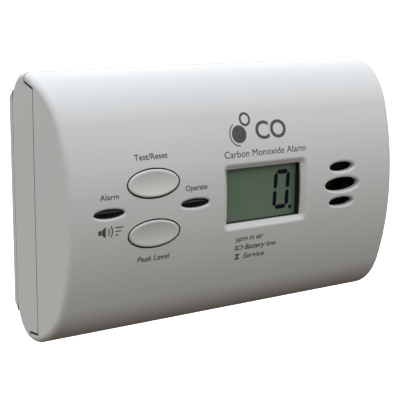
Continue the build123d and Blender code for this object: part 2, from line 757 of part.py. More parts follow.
def button(z):
    """Oval push button at height z: a dished cap, a flange behind the collar and a stem."""
    dish_width, dish_height = [length - 2 * BUTTON_RIM for length in BUTTON_SIZE]
    dish_radius = 1 / (1 / bow_radius(dish_height, DISH_DEPTH) - 1 / FRONT_RADIUS)
    face = Vector(BUTTON_X, front_y(z, FRONT_RADIUS + BUTTON_PROUD), z)
    dish_axis = face + front_normal(z) * (dish_radius - DISH_DEPTH)
    with BuildPart() as key:
        with BuildSketch(front_plane(FLANGE_REAR_Y)):
            with Locations((BUTTON_X, z)):
                Ellipse(BUTTON_SIZE[0] / 2, BUTTON_SIZE[1] / 2)
        extrude(amount=BODY_DEPTH / 2)
        with BuildSketch(Plane.YZ):
            with Locations((ARC_Y, 0)):
                Circle(FRONT_RADIUS + BUTTON_PROUD)
        extrude(amount=BODY_WIDTH, both=True, mode=Mode.INTERSECT)
        fillet(key.faces().sort_by(Axis.Y)[0].edges(), BUTTON_ROUND)
        dish = barrel(dish_axis, BUTTON_SIZE[0], dish_radius, bow_radius(dish_width, DISH_DEPTH))
        add(dish, mode=Mode.SUBTRACT)
        with BuildSketch(front_plane(FLANGE_REAR_Y)):
            with Locations((BUTTON_X, z)):
                Ellipse(BUTTON_FLANGE[0] / 2, BUTTON_FLANGE[1] / 2)
        extrude(amount=FLANGE_REAR_Y - FLANGE_FRONT_Y)
        with BuildSketch(front_plane(PLUNGER_TIP_Y - STEM_GAP)):
            with Locations((BUTTON_X, z)):
                Circle(STEM_R)
        extrude(amount=PLUNGER_TIP_Y - STEM_GAP - FLANGE_REAR_Y)
    return key.part


def switch_body(z):
    """Square tactile switch with a bore for its plunger."""
    place = (BUTTON_X, z)
    body_block = block(place, (SWITCH_SIZE, SWITCH_SIZE), BOARD_FRONT_Y, SWITCH_TOP_Y, SWITCH_CORNER)
    bore_y = SWITCH_TOP_Y + SWITCH_BORE_DEPTH
    return drilled(body_block, place, PLUNGER_R + PLUNGER_FIT, bore_y, SWITCH_TOP_Y)


def plunger(z):
    """Round plunger of the switch at height z."""
    return disc((BUTTON_X, z), PLUNGER_R, PLUNGER_REAR_Y, PLUNGER_TIP_Y)


def lens(x):
    """Smoked oval lens with a domed front and a flange behind the cover."""
    width, height = [length - 2 * LENS_CLEARANCE for length in LED_WINDOW]
    dome_radius = bow_radius(height, LENS_CROWN)
    crown = Vector(x, front_y(ROW_Z, FRONT_RADIUS - LENS_DEPTH), ROW_Z)
    dome_axis = crown - front_normal(ROW_Z) * dome_radius
    with BuildPart() as piece:
        with BuildSketch(front_plane(LENS_REAR_Y)):
            with Locations((x, ROW_Z)):
                Ellipse(width / 2, height / 2)
        extrude(amount=BODY_DEPTH / 2)
        dome = barrel(dome_axis, LED_WINDOW[0], dome_radius, bow_radius(width, LENS_CROWN))
        add(dome, mode=Mode.INTERSECT)
        with BuildSketch(front_plane(LENS_REAR_Y)):
            with Locations((x, ROW_Z)):
                Ellipse(LENS_FLANGE[0] / 2, LENS_FLANGE[1] / 2)
        extrude(amount=LENS_FLANGE_THICKNESS)
    return piece.part


def led(x):
    """Round lamp with a domed tip, a base flange and two legs into the board."""
    flange_x = x + LED_R + LED_BASE_LIP
    flange_y = LED_BASE_Y - LED_BASE_HEIGHT
    shoulder = (x + LED_R, LED_TIP_Y + LED_R)
    with BuildPart() as piece:
        with BuildSketch(Plane.XY.offset(ROW_Z)):
            with BuildLine():
                Polyline(
                    (x, LED_BASE_Y),
                    (flange_x, LED_BASE_Y),
                    (flange_x, flange_y),
                    (x + LED_R, flange_y),
                    shoulder,
                )
                RadiusArc(shoulder, (x, LED_TIP_Y), LED_R)
                Line((x, LED_TIP_Y), (x, LED_BASE_Y))
            make_face()
        revolve(axis=Axis((x, 0, ROW_Z), (0, 1, 0)))
        with BuildSketch(front_plane(LED_LEG_END_Y)):
            with Locations((x - LED_LEG_PITCH / 2, ROW_Z), (x + LED_LEG_PITCH / 2, ROW_Z)):
                Rectangle(LED_LEG_SIZE, LED_LEG_SIZE)
        extrude(amount=LED_LEG_END_Y - LED_BASE_Y)
    return piece.part


def led_spacer(x):
    """Sleeve that holds a lamp off the board."""
    sleeve = disc((x, ROW_Z), SPACER_R, BOARD_FRONT_Y, LED_BASE_Y)
    return drilled(sleeve, LED_LEGS, LED_LEG_HOLE_R, BOARD_FRONT_Y, LED_BASE_Y)


# ------------------------------------------------------------------ display
FILM_REAR_Y = GLASS_FRONT_Y + FILM_THICKNESS
GLASS_REAR_Y = FILM_REAR_Y + GLASS_THICKNESS
LCD_PLACE = (LCD_X, LCD_Z)

with BuildPart() as lcd_holder:
    add(curved_to_cover(block(LCD_PLACE, BEZEL_SIZE, BOARD_FRONT_Y, -BODY_DEPTH)))
    with BuildSketch(front_plane(BOARD_FRONT_Y)):
        with Locations(LCD_PLACE):
            Rectangle(GLASS_SIZE[0] + 2 * GLASS_CLEARANCE, GLASS_SIZE[1] + 2 * GLASS_CLEARANCE)
    extrude(amount=BOARD_FRONT_Y - GLASS_FRONT_Y, mode=Mode.SUBTRACT)
    with BuildSketch(front_plane(BOARD_FRONT_Y)):
        with Locations(LCD_PLACE):
            Rectangle(*BEZEL_OPENING)
    extrude(amount=BODY_DEPTH, mode=Mode.SUBTRACT)


def contact_strip(side):
    """Conductive strip between the board and the edge of the display glass."""
    return block((LCD_X, LCD_Z + side * STRIP_Z), (STRIP_LENGTH, STRIP_WIDTH), BOARD_FRONT_Y, GLASS_REAR_Y)


# ------------------------------------------------------------------ sounder
HORN_PLACE = (VENT_X, ROW_Z)

with BuildPart() as horn_housing:
    add(disc(HORN_PLACE, HORN_R, BOARD_FRONT_Y, HORN_TOP_Y, HORN_THROAT_R))
    with BuildSketch(front_plane(HORN_LEDGE_Y)):
        with Locations(HORN_PLACE):
            Circle(HORN_BORE_R)
    extrude(amount=HORN_LEDGE_Y - HORN_TOP_Y, mode=Mode.SUBTRACT)

# ------------------------------------------------------------------ circuit board and what it carries
with BuildPart() as main_board:
    add(block((0, 0), BOARD_SIZE, BOARD_REAR_Y, BOARD_FRONT_Y, BOARD_CORNER))
    with BuildSketch(front_plane(BOARD_REAR_Y)):
        with Locations(BOARD_SCREW_PLACES):
            Circle(BOARD_SCREW_R + SCREW_CLEARANCE)
        with Locations(LED_LEGS):
            Circle(LED_LEG_HOLE_R)
        with Locations(SENSOR_PINS):
            Circle(PIN_R + PIN_HOLE_CLEARANCE)
        with Locations(HORN_PLACE):
            Circle(BOARD_PORT_R)
    extrude(amount=BOARD_REAR_Y - BOARD_FRONT_Y, mode=Mode.SUBTRACT)

SENSOR_PLACE = (SENSOR_X, SENSOR_Z)
sensor_base = disc(SENSOR_PLACE, SENSOR_R + SENSOR_BASE_LIP, SENSOR_BASE_Y, BOARD_REAR_Y)
sensor_filter_y = SENSOR_END_Y + FILTER_THICKNESS
with BuildPart() as co_sensor_pins:
    with BuildSketch(front_plane(SENSOR_BASE_Y)):
        with Locations(SENSOR_PINS):
            Circle(PIN_R)
    extrude(amount=SENSOR_BASE_Y - PIN_END_Y)

with BuildPart() as microcontroller_leads:
    with BuildSketch(front_plane(BOARD_REAR_Y + CHIP_LEAD[2])):
        for turn in (0, 90):
            with Locations(Location((*CHIP_PLACE, 0), (0, 0, turn))):
                with GridLocations(CHIP_LEAD_PITCH, CHIP_SIZE + CHIP_LEAD[1], CHIP_LEADS_PER_SIDE, 2):
                    Rectangle(CHIP_LEAD[0], CHIP_LEAD[1])
    extrude(amount=CHIP_LEAD[2])

with BuildPart() as crystal:
    with BuildSketch(front_plane(BOARD_REAR_Y + CRYSTAL_HEIGHT)):
        with Locations(CRYSTAL_PLACE):
            SlotOverall(*CRYSTAL_SIZE)
    extrude(amount=CRYSTAL_HEIGHT)
    fillet(crystal.faces().sort_by(Axis.Y)[-1].edges(), CRYSTAL_ROUND)


def chip_group(place, pitch, grid, size, height):
    """Rows of small surface-mounted parts."""
    with BuildPart() as group:
        with BuildSketch(front_plane(BOARD_REAR_Y + height)):
            with Locations(place):
                with GridLocations(*pitch, *grid):
                    Rectangle(*size)
        extrude(amount=height)
    return group.part


# ------------------------------------------------------------------ cells, contacts and leads
def cell(z, facing):
    """AA cell along X whose raised end touches the flat plate on its facing side."""
    with BuildPart() as piece:
        with BuildSketch(Plane.YZ.offset(facing * (PLATE_X - CELL_LENGTH))):
            with Locations((CELL_Y, z)):
                Circle(CELL_R)
        extrude(amount=facing * (CELL_LENGTH - NUB_HEIGHT))
        chamfer(piece.edges(), CELL_CHAMFER)
        with BuildSketch(Plane.YZ.offset(facing * PLATE_X)):
            with Locations((CELL_Y, z)):
                Circle(NUB_R)
        extrude(amount=-facing * NUB_HEIGHT)
    return piece.part


def contact(side, low_z, high_z, spring_z=None, tab_z=None):
    """Contact plate at one end of the tub, with an optional spring and solder tab."""
    with BuildPart() as piece:
        with BuildSketch(Plane.YZ.offset(side * PLATE_X)):
            with Locations((CELL_Y, (low_z + high_z) / 2)):
                RectangleRounded(PLATE_HEIGHT, high_z - low_z + PLATE_HEIGHT, PLATE_CORNER)
            if tab_z is not None:
                with Locations((CELL_Y, tab_z)):
                    Rectangle(CELL_Y - TAB_END_Y, TAB_WIDTH, align=(Align.MAX, Align.CENTER))
        extrude(amount=side * PLATE_THICKNESS)
        if spring_z is not None:
            room = 2 * PLATE_X - CELL_LENGTH
            height = room - 1.5 * SPRING_WIRE_R - SPRING_SLACK
            start = (side * (PLATE_X - SPRING_WIRE_R / 2), CELL_Y, spring_z)
            with BuildLine() as coil:
                Helix(height / SPRING_TURNS, height, SPRING_R, center=start, direction=(-side, 0, 0))
            with BuildSketch(Plane(origin=coil.line @ 0, z_dir=coil.line % 0)):
                Circle(SPRING_WIRE_R)
            sweep(path=coil.line)
    return piece.part


def lead(side):
    """Insulated wire from the tab of an end contact to the connector, with tangent bends."""
    connector_x = CONNECTOR[0] + side * CONNECTOR_SIZE[0] / 2
    points = [
        (side * LEAD_X, LEAD_START_Y, side * CELL_PITCH),
        (side * LEAD_X, LEAD_Y, side * CELL_PITCH),
        (side * LEAD_X, LEAD_Y, CONNECTOR[1]),
        (connector_x, LEAD_Y, CONNECTOR[1]),
    ]
    with BuildPart() as piece:
        with BuildLine() as route:
            FilletPolyline(*points, radius=LEAD_BEND_R)
        with BuildSketch(Plane(origin=route.line @ 0, z_dir=route.line % 0)):
            Circle(LEAD_R)
        sweep(path=route.line)
    return piece.part


# ------------------------------------------------------------------ all pieces
PIECES = {
    "front_cover": front_cover.part,
    "rear_housing": rear_housing.part,
    "battery_door": battery_door.part,
    "test_button": button(BUTTON_ZS[0]),
    "peak_button": button(BUTTON_ZS[1]),
    "test_switch_body": switch_body(BUTTON_ZS[0]),
    "peak_switch_body": switch_body(BUTTON_ZS[1]),
    "test_switch_plunger": plunger(BUTTON_ZS[0]),
    "peak_switch_plunger": plunger(BUTTON_ZS[1]),
    "alarm_lens": lens(LED_XS[0]),
    "operate_lens": lens(LED_XS[1]),
    "alarm_led": led(LED_XS[0]),
    "operate_led": led(LED_XS[1]),
    "alarm_led_spacer": led_spacer(LED_XS[0]),
    "operate_led_spacer": led_spacer(LED_XS[1]),
    "lcd_holder": lcd_holder.part,
    "lcd_film": block(LCD_PLACE, GLASS_SIZE, FILM_REAR_Y, GLASS_FRONT_Y),
    "lcd_glass": block(LCD_PLACE, GLASS_SIZE, GLASS_REAR_Y, FILM_REAR_Y),
    "lcd_strip_upper": contact_strip(1),
    "lcd_strip_lower": contact_strip(-1),
    "horn_housing": horn_housing.part,
    "horn_cap": disc(HORN_PLACE, HORN_R, HORN_TOP_Y, HORN_CAP_Y, HORN_CAP_HOLE_R),
    "horn_gasket": curved_to_cover(disc(HORN_PLACE, HORN_R, HORN_CAP_Y, -BODY_DEPTH, GASKET_BORE_R)),
    "piezo_disc": disc(HORN_PLACE, PIEZO_R, HORN_LEDGE_Y, HORN_LEDGE_Y - PIEZO_THICKNESS),
    "piezo_ceramic": disc(HORN_PLACE, CERAMIC_R, HORN_LEDGE_Y + CERAMIC_THICKNESS, HORN_LEDGE_Y),
    "main_board": main_board.part,
    "co_sensor_base": drilled(sensor_base, SENSOR_PINS, PIN_R + PIN_FIT, SENSOR_BASE_Y, BOARD_REAR_Y),
    "co_sensor_can": disc(SENSOR_PLACE, SENSOR_R, SENSOR_END_Y, SENSOR_BASE_Y),
    "co_sensor_filter": disc(SENSOR_PLACE, FILTER_R, sensor_filter_y, SENSOR_END_Y, FILTER_HOLE_R),
    "co_sensor_pins": co_sensor_pins.part,
    "microcontroller": block(
        CHIP_PLACE,
        (CHIP_SIZE, CHIP_SIZE),
        BOARD_REAR_Y + CHIP_HEIGHT,
        BOARD_REAR_Y + CHIP_STANDOFF,
        CHIP_CORNER,
    ),
    "microcontroller_leads": microcontroller_leads.part,
    "crystal": crystal.part,
    "capacitor_large": disc(LARGE_CAPACITOR, LARGE_CAPACITOR_R, *on_board(LARGE_CAPACITOR_HEIGHT)),
    "capacitor_small": disc(SMALL_CAPACITOR, SMALL_CAPACITOR_R, *on_board(SMALL_CAPACITOR_HEIGHT)),
    "horn_inductor": disc(INDUCTOR, INDUCTOR_R, *on_board(INDUCTOR_HEIGHT), INDUCTOR_BORE_R),
    "driver_transistor": block(
        TRANSISTOR, TRANSISTOR_SIZE, *on_board(TRANSISTOR_HEIGHT), TRANSISTOR_CORNER
    ),
    "battery_connector": block(CONNECTOR, CONNECTOR_SIZE, *on_board(CONNECTOR_HEIGHT), CONNECTOR_CORNER),
    "resistors": chip_group(
        RESISTOR_PLACE, RESISTOR_PITCH, RESISTOR_GRID, RESISTOR_SIZE, RESISTOR_HEIGHT
    ),
    "ceramic_capacitors": chip_group(
        CERAMIC_PLACE, CERAMIC_PITCH, CERAMIC_GRID, CERAMIC_SIZE, CERAMIC_HEIGHT
    ),
    "aa_cell_upper": cell(CELL_PITCH, 1),
    "aa_cell_middle": cell(0.0, -1),
    "aa_cell_lower": cell(-CELL_PITCH, 1),
    "contact_positive": contact(1, CELL_PITCH, CELL_PITCH, tab_z=CELL_PITCH),
    "contact_negative": contact(-1, -CELL_PITCH, -CELL_PITCH, spring_z=-CELL_PITCH, tab_z=-CELL_PITCH),
    "contact_bridge_left": contact(-1, 0.0, CELL_PITCH, spring_z=CELL_PITCH),
    "contact_bridge_right": contact(1, -CELL_PITCH, 0.0, spring_z=0.0),
    "lead_red": lead(1),
    "lead_black": lead(-1),
    "case_screws": screws(
        CASE_SCREW_PLACES,
        CASE_HEAD_R,
        CASE_HEAD_Y + CASE_HEAD_HEIGHT,
        CASE_HEAD_Y,
        CASE_SCREW_R,
        CASE_SCREW_END_Y,
    ),
    "board_screws": screws(
        BOARD_SCREW_PLACES, BOARD_HEAD_R, *on_board(BOARD_HEAD_HEIGHT), BOARD_SCREW_R, BOARD_SCREW_END_Y
    ),
    "rating_plate": block(
        (LABEL_X, LABEL_Z), LABEL_SIZE, LABEL_THICKNESS - LABEL_SEAT, -LABEL_SEAT, LABEL_CORNER
    ),
}

for name, piece in PIECES.items():
    piece.label = name
    export_step(piece, f"parts/{name}.step")
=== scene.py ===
import json
import math
import bpy
from mathutils import Matrix, Vector


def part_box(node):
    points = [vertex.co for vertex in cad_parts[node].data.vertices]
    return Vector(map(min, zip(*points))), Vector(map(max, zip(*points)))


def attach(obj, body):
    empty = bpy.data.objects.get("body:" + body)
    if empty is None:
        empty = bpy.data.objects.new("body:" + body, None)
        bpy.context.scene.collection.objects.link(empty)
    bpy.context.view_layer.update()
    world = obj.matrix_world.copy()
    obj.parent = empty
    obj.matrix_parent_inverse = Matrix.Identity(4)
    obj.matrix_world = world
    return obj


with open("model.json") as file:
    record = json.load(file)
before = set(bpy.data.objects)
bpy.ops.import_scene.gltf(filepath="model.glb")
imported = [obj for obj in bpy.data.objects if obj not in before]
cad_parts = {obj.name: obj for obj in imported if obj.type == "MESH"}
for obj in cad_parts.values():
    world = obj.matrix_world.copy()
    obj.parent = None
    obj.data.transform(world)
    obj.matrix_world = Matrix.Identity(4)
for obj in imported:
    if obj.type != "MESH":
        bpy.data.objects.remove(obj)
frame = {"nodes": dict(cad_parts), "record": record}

MM = 0.001
scene = bpy.context.scene
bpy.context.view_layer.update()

# ---------------------------------------------------------------- camera
VIEW_YAW = 32.42
VIEW_PITCH = 12.926
VIEW_ROLL = 0.769
VIEW_OFFSET = (-6.876, 7.419, 409.887)
LENS_MM = 93.34
SENSOR_MM = 36
CLIP_M = (0.01, 50)


def make_camera():
    """Camera at the angle the object is seen from."""
    yaw, pitch, roll = (math.radians(a) for a in (VIEW_YAW, VIEW_PITCH, VIEW_ROLL))
    ahead = Vector((math.sin(yaw) * math.cos(pitch), math.cos(yaw) * math.cos(pitch), -math.sin(pitch)))
    level = Vector((math.cos(yaw), -math.sin(yaw), 0))
    up = level.cross(ahead)
    across = level * math.cos(roll) + up * math.sin(roll)
    upright = up * math.cos(roll) - level * math.sin(roll)
    place = -(across * VIEW_OFFSET[0] + upright * VIEW_OFFSET[1] + ahead * VIEW_OFFSET[2]) * MM
    data = bpy.data.cameras.new("camera")
    data.sensor_width = SENSOR_MM
    data.lens = LENS_MM
    data.clip_start, data.clip_end = CLIP_M
    camera = bpy.data.objects.new("camera", data)
    scene.collection.objects.link(camera)
    turn = Matrix((across, upright, -ahead)).transposed().to_4x4()
    camera.matrix_world = Matrix.Translation(place) @ turn
    scene.camera = camera


# ---------------------------------------------------------------- materials
MOTTLE_RANGE = (0.35, 0.65)
ROUGH_RANGE = (0.3, 0.7)
# Painted shade: ambient occlusion darkens the base colour in narrow gaps, seams and recesses; these set how
# dark and over what range.
GAP_SAMPLES = 12
GAP_CLOSED = 0.3
GAP_OPEN = 0.88
GAP_SHADE = 0.02


def material(name, colour, second=None, mottle=25.0, rough=(0.4, 0.5), rough_scale=60.0,
             grain=0.0, grain_scale=900.0, grain_depth=0.00005, stretch=(1, 1, 1),
             metallic=0.0, painted_shade_distance=0.0, **constants):
    """Procedural material: two mottled colours, varying roughness, a bump grain and painted shade: ambient
    occlusion darkens the base colour in crevices and narrow gaps.
    """
    made = bpy.data.materials.new(name)
    made.use_nodes = True
    tree = made.node_tree
    shader = tree.nodes["Principled BSDF"]
    coords = tree.nodes.new("ShaderNodeTexCoord")
    mapping = tree.nodes.new("ShaderNodeMapping")
    mapping.inputs["Scale"].default_value = stretch
    tree.links.new(coords.outputs["Object"], mapping.inputs["Vector"])

    def noise(scale, detail=4.0):
        node = tree.nodes.new("ShaderNodeTexNoise")
        node.inputs["Scale"].default_value = scale
        node.inputs["Detail"].default_value = detail
        tree.links.new(mapping.outputs["Vector"], node.inputs["Vector"])
        return node

    ramp = tree.nodes.new("ShaderNodeValToRGB")
    for element, position, tone in zip(ramp.color_ramp.elements, MOTTLE_RANGE, (colour, second or colour)):
        element.position = position
        element.color = (*tone, 1)
    tree.links.new(noise(mottle).outputs["Fac"], ramp.inputs["Fac"])
    base = ramp.outputs["Color"]
    # Painted shade: scale the base colour down where ambient occlusion finds nearby surfaces.
    if painted_shade_distance:
        shade = tree.nodes.new("ShaderNodeAmbientOcclusion")
        shade.samples = GAP_SAMPLES
        shade.inputs["Distance"].default_value = painted_shade_distance
        depth = tree.nodes.new("ShaderNodeMapRange")
        depth.inputs["From Min"].default_value = GAP_CLOSED
        depth.inputs["From Max"].default_value = GAP_OPEN
        depth.inputs["To Min"].default_value = GAP_SHADE
        tree.links.new(shade.outputs["AO"], depth.inputs["Value"])
        darken = tree.nodes.new("ShaderNodeVectorMath")
        darken.operation = "SCALE"
        tree.links.new(base, darken.inputs[0])
        tree.links.new(depth.outputs["Result"], darken.inputs["Scale"])
        base = darken.outputs["Vector"]
    tree.links.new(base, shader.inputs["Base Color"])
    spread = tree.nodes.new("ShaderNodeMapRange")
    spread.inputs["From Min"].default_value = ROUGH_RANGE[0]
    spread.inputs["From Max"].default_value = ROUGH_RANGE[1]
    spread.inputs["To Min"].default_value = rough[0]
    spread.inputs["To Max"].default_value = rough[1]
    tree.links.new(noise(rough_scale).outputs["Fac"], spread.inputs["Value"])
    tree.links.new(spread.outputs["Result"], shader.inputs["Roughness"])
    if grain:
        bump = tree.nodes.new("ShaderNodeBump")
        bump.inputs["Strength"].default_value = grain
        bump.inputs["Distance"].default_value = grain_depth
        tree.links.new(noise(grain_scale, 2.0).outputs["Fac"], bump.inputs["Height"])
        tree.links.new(bump.outputs["Normal"], shader.inputs["Normal"])
    shader.inputs["Metallic"].default_value = metallic
    for key, value in constants.items():
        shader.inputs[key.replace("_", " ")].default_value = value
    return made


def dress(node_name, made):
    """Put a material on every slot of a CAD node."""
    obj = frame["nodes"][node_name]
    if not obj.data.materials:
        obj.data.materials.append(made)
    for index in range(len(obj.data.materials)):
        obj.data.materials[index] = made


MATERIALS = {
    # Case and button carry painted shade in their gaps and seams (ambient occlusion darkens their base
    # colour).
    "case_white": material(
        "case_abs", (0.675, 0.68, 0.68), (0.69, 0.69, 0.685), mottle=18, rough=(0.40, 0.50),
        rough_scale=70, grain=0.35, grain_scale=1400, grain_depth=0.00006, painted_shade_distance=0.0017,
    ),
    "button_white": material(
        "button_abs", (0.68, 0.675, 0.66), (0.695, 0.69, 0.675), mottle=40, rough=(0.34, 0.44),
        rough_scale=120, grain=0.25, grain_scale=1600, grain_depth=0.00005, painted_shade_distance=0.0017,
    ),
    "smoked_plastic": material(
        "smoked_lens", (0.003, 0.003, 0.0035), (0.005, 0.005, 0.0055), rough=(0.08, 0.16),
        rough_scale=90, Specular_IOR_Level=0.28,
    ),
    "led_red": material(
        "led_resin_red", (0.45, 0.02, 0.02), (0.38, 0.02, 0.02), rough=(0.08, 0.16),
    ),
    "led_green": material(
        "led_resin_green", (0.04, 0.34, 0.07), (0.04, 0.28, 0.06), rough=(0.08, 0.16),
    ),
    "black_plastic": material(
        "black_abs", (0.006, 0.006, 0.0065), (0.010, 0.010, 0.0105), rough=(0.5, 0.62), grain=0.3,
        grain_scale=1500,
    ),
    "lcd_film": material(
        "lcd_film", (0.150, 0.215, 0.152), (0.162, 0.228, 0.162), mottle=30, rough=(0.30, 0.38),
        rough_scale=200, grain=0.05, grain_scale=3000, grain_depth=0.00002,
    ),
    "lcd_glass": material(
        "lcd_glass", (0.35, 0.42, 0.36), (0.33, 0.40, 0.35), rough=(0.05, 0.09),
    ),
    "elastomer": material(
        "elastomer", (0.09, 0.09, 0.10), (0.16, 0.16, 0.17), mottle=900, rough=(0.6, 0.75),
        stretch=(1, 0.05, 0.05),
    ),
    "foam": material(
        "foam", (0.015, 0.015, 0.016), (0.03, 0.03, 0.03), mottle=900, rough=(0.85, 0.95), grain=0.8,
        grain_scale=1100, grain_depth=0.0002,
    ),
    "brass_plate": material(
        "brass_plate", (0.42, 0.30, 0.14), (0.34, 0.24, 0.11), mottle=80, rough=(0.22, 0.38),
        metallic=1.0, grain=0.2, grain_scale=900, stretch=(1, 1, 12),
    ),
    "ceramic": material(
        "silvered_ceramic", (0.62, 0.60, 0.56), (0.55, 0.53, 0.50), mottle=120, rough=(0.4, 0.55),
        metallic=0.6, grain=0.25, grain_scale=1300,
    ),
    "board": material(
        "solder_mask", (0.010, 0.085, 0.028), (0.016, 0.125, 0.040), mottle=260, rough=(0.25, 0.38),
        rough_scale=140, grain=0.3, grain_scale=500, stretch=(1, 1, 3),
    ),
    "steel": material(
        "plated_steel", (0.58, 0.58, 0.59), (0.50, 0.50, 0.52), mottle=140, rough=(0.22, 0.40),
        rough_scale=200, metallic=1.0, grain=0.2, grain_scale=900, stretch=(1, 4, 1),
    ),
    "chip": material(
        "epoxy_black", (0.018, 0.018, 0.019), (0.028, 0.027, 0.028), mottle=300, rough=(0.55, 0.68),
        grain=0.4, grain_scale=2200,
    ),
    "capacitor_sleeve": material(
        "capacitor_sleeve", (0.012, 0.022, 0.10), (0.016, 0.028, 0.12), rough=(0.25, 0.35),
    ),
    "ferrite": material(
        "ferrite", (0.045, 0.042, 0.040), (0.065, 0.060, 0.056), mottle=500, rough=(0.6, 0.75),
        grain=0.5, grain_scale=1500,
    ),
    "connector_white": material(
        "nylon", (0.66, 0.63, 0.54), (0.70, 0.67, 0.58), rough=(0.4, 0.52), grain=0.2,
    ),
    "resistor": material(
        "resistor_glaze", (0.02, 0.02, 0.022), (0.035, 0.034, 0.036), rough=(0.2, 0.32),
    ),
    "ceramic_tan": material(
        "fired_ceramic", (0.36, 0.25, 0.14), (0.42, 0.30, 0.18), mottle=500, rough=(0.4, 0.55),
    ),
    "insulation_red": material(
        "pvc_red", (0.42, 0.012, 0.010), (0.36, 0.010, 0.010), rough=(0.32, 0.42),
    ),
    "insulation_black": material(
        "pvc_black", (0.010, 0.010, 0.011), (0.016, 0.016, 0.017), rough=(0.32, 0.42),
    ),
    "label": material(
        "label_film", (0.52, 0.53, 0.54), (0.58, 0.58, 0.59), mottle=60, rough=(0.28, 0.38),
        metallic=0.4, grain=0.15, grain_scale=700, stretch=(1, 1, 8),
    ),
}

CELL_SLOT = "cell_jacket"
for part in frame["record"]["subparts"]:
    if part["material_slot"] != CELL_SLOT:
        dress(part["node"], MATERIALS[part["material_slot"]])

STEEL_END = (0.45, 0.45, 0.46)
SLEEVE_BLUE = (0.03, 0.07, 0.14)
SLEEVE_BLUE_LIGHT = (0.04, 0.08, 0.15)
PALE_BAND = (0.52, 0.53, 0.54)
CELL_BANDS = (
    (0.0, STEEL_END),
    (0.035, SLEEVE_BLUE),
    (0.74, PALE_BAND),
    (0.80, SLEEVE_BLUE),
    (0.95, STEEL_END),
)
REVERSED_CELL = "aa_cell_middle"


def cell_jacket(name, node):
    """Printed sleeve: a pale band towards the positive end, steel at both ends."""
    made = material(name, SLEEVE_BLUE, SLEEVE_BLUE_LIGHT, rough=(0.18, 0.28), grain=0.1)
    tree = made.node_tree
    shader = tree.nodes["Principled BSDF"]
    low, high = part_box(node)
    flip = node == REVERSED_CELL
    coords = tree.nodes.new("ShaderNodeTexCoord")
    split = tree.nodes.new("ShaderNodeSeparateXYZ")
    along = tree.nodes.new("ShaderNodeMapRange")
    along.inputs["From Min"].default_value = high[0] if flip else low[0]
    along.inputs["From Max"].default_value = low[0] if flip else high[0]
    bands = tree.nodes.new("ShaderNodeValToRGB")
    bands.color_ramp.interpolation = "CONSTANT"
    while len(bands.color_ramp.elements) < len(CELL_BANDS):
        bands.color_ramp.elements.new(0.5)
    for element, (start, colour) in zip(bands.color_ramp.elements, CELL_BANDS):
        element.position = start
        element.color = (*colour, 1)
    tree.links.new(coords.outputs["Object"], split.inputs["Vector"])
    tree.links.new(split.outputs["X"], along.inputs["Value"])
    tree.links.new(along.outputs["Result"], bands.inputs["Fac"])
    tree.links.new(bands.outputs["Color"], shader.inputs["Base Color"])
    dress(node, made)


for part in frame["record"]["subparts"]:
    if part["material_slot"] == CELL_SLOT:
        cell_jacket("jacket_" + part["node"], part["node"])

HORN_BLACK = material("horn_black", (0.0025, 0.0025, 0.0027), (0.004, 0.004, 0.0042), rough=(0.8, 0.9),
                      grain=0.3, grain_scale=1500, Specular_IOR_Level=0.15)
for node in ("horn_cap", "horn_gasket"):
    dress(node, HORN_BLACK)

make_camera()


# ---------------------------------------------------------------- printed marks
# The front is bowed: an arc of this radius and centre in the Y-Z plane, the same along its length.
FRONT_RADIUS = 84.7
FRONT_CENTRE_Y = 40.25
PRINT_PROUD = 0.02
PRINT_SUNK = 0.03
CAPITAL_SHARE = 0.7
CURVE_STEPS = 4
INK = material("print_grey", (0.062, 0.060, 0.053), (0.088, 0.085, 0.076), mottle=700, rough=(0.5, 0.62),
               grain=0.2, grain_scale=2500)
INK_BOLD = material("print_grey_bold", (0.035, 0.034, 0.031), (0.055, 0.054, 0.049), mottle=700,
                    rough=(0.5, 0.62), grain=0.2, grain_scale=2500)
LCD_INK = material("lcd_dark", (0.002, 0.004, 0.011), (0.004, 0.006, 0.015), mottle=300, rough=(0.45, 0.55),
                   Specular_IOR_Level=0.2)


def front_y(z):
    """Depth in mm of the bowed front at height z."""
    return FRONT_CENTRE_Y - math.sqrt(FRONT_RADIUS**2 - z**2)


def text_mesh(words, height, slant, bold):
    """Flat mesh of the words in mm, with this capital height."""
    curve = bpy.data.curves.new("words", "FONT")
    curve.body = words
    curve.size = height / CAPITAL_SHARE
    curve.shear = slant
    curve.offset = bold
    curve.align_x = "CENTER"
    curve.fill_mode = "FRONT"
    curve.resolution_u = CURVE_STEPS
    temp = bpy.data.objects.new("words", curve)
    scene.collection.objects.link(temp)
    bpy.context.view_layer.update()
    mesh = bpy.data.meshes.new_from_object(temp.evaluated_get(bpy.context.evaluated_depsgraph_get()))
    bpy.data.objects.remove(temp)
    bpy.data.curves.remove(curve)
    return mesh


def thick_print(name, polygons, points, place, made, body="case"):
    """Closed thin solid from flat polygons; place maps a flat point and a side to a point in metres."""
    count = len(points)
    verts = [place(x, z, 0) for x, z in points] + [place(x, z, 1) for x, z in points]
    faces = [tuple(p) for p in polygons] + [tuple(i + count for i in reversed(p)) for p in polygons]
    edges = dict.fromkeys((a, b) for poly in polygons for a, b in zip(poly, poly[1:] + poly[:1]))
    for a, b in edges:
        on_outline = (b, a) not in edges
        if on_outline:
            faces.append((b, a, a + count, b + count))
    mesh = bpy.data.meshes.new(name)
    mesh.from_pydata(verts, [], faces)
    mesh.validate()
    mesh.materials.append(made)
    obj = bpy.data.objects.new(name, mesh)
    scene.collection.objects.link(obj)
    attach(obj, body)


def on_front(x0, z0):
    """Placement of a flat drawing on the bowed front, centred at x0, z0."""

    def place(x, z, side):
        height = z0 + z
        depth = front_y(height) + (PRINT_SUNK if side else -PRINT_PROUD)
        return ((x0 + x) * MM, depth * MM, height * MM)

    return place


